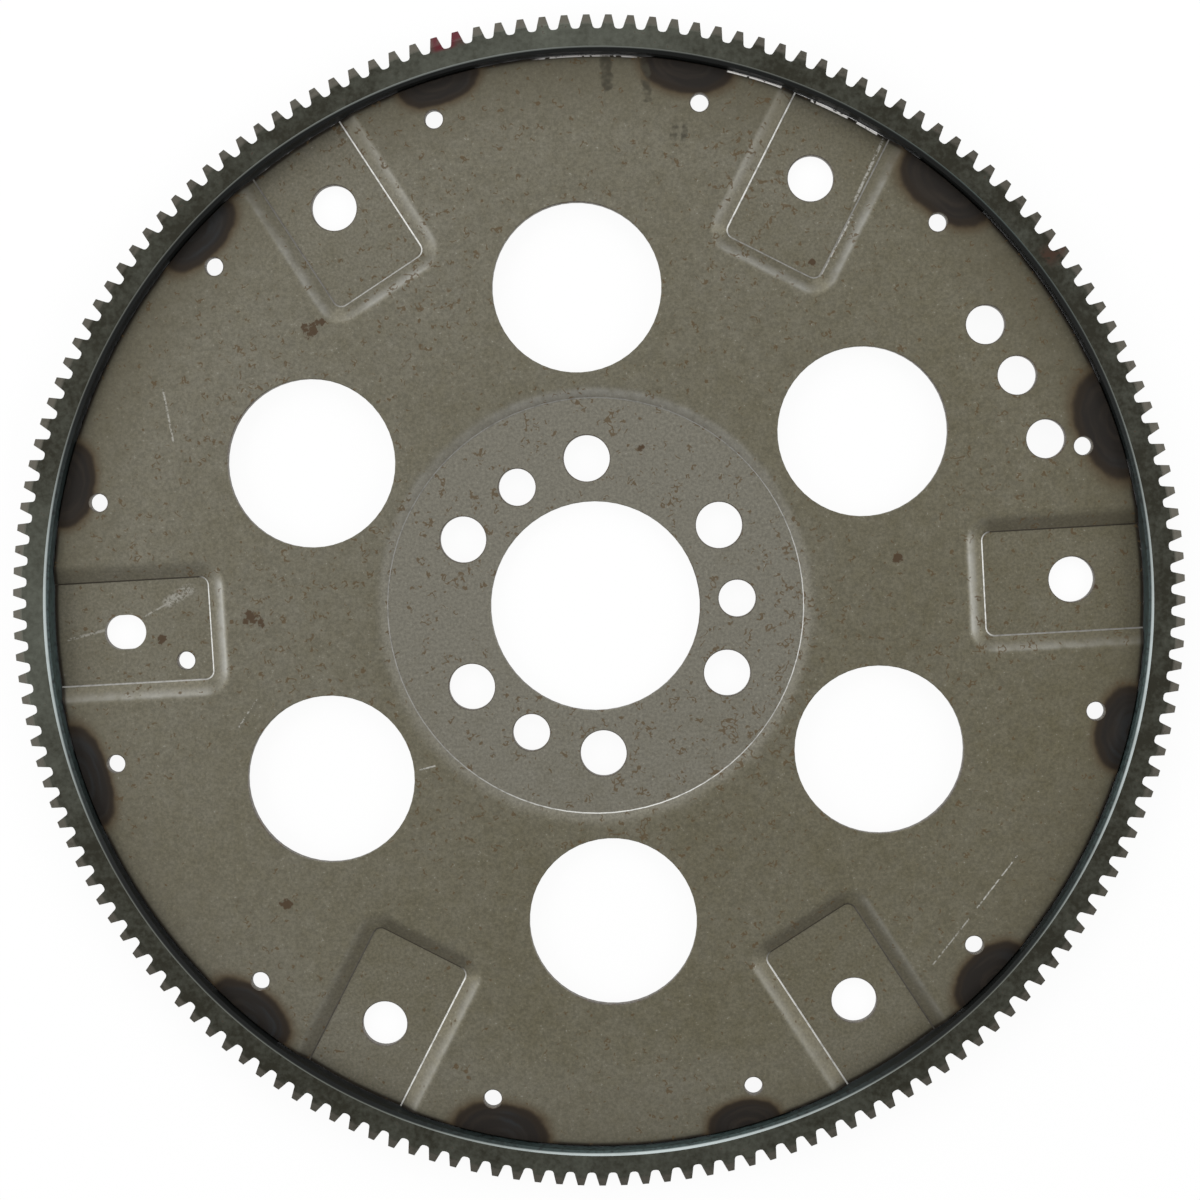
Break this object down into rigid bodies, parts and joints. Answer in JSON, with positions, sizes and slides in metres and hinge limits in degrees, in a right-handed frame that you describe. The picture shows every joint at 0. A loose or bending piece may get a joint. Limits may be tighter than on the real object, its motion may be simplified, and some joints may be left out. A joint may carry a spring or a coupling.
{
  "type": "flexplate",
  "caption": "Pressed steel drive disc with a dished hub, lightening holes and converter pads, and a toothed starter ring welded around its rim",
  "frame": {"origin": "on the axis of rotation, in the plane of the converter pads' rear faces, on which the part lies", "axes": "+Z is the axis of rotation and points to the engine side, +X runs through the middle of one converter pad"},
  "size_m": [0.3578, 0.3578, 0.0109],
  "materials": {
    "plate_steel": "cold-rolled sheet steel with fine grain, rust specks and dark heat marks beside the welds",
    "ring_oxide": "hardened steel with a dark oxide skin",
    "weld_metal": "bare weld metal, rippled and heat stained"
  },
  "bodies": {
    "root": {"flex_plate": "plate_steel", "ring_gear": "ring_oxide", "weld_01": "weld_metal", "weld_02": "weld_metal", "weld_03": "weld_metal", "weld_04": "weld_metal", "weld_05": "weld_metal", "weld_06": "weld_metal", "weld_07": "weld_metal", "weld_08": "weld_metal", "weld_09": "weld_metal", "weld_10": "weld_metal", "weld_11": "weld_metal", "weld_12": "weld_metal"}
  },
  "joints": []
}
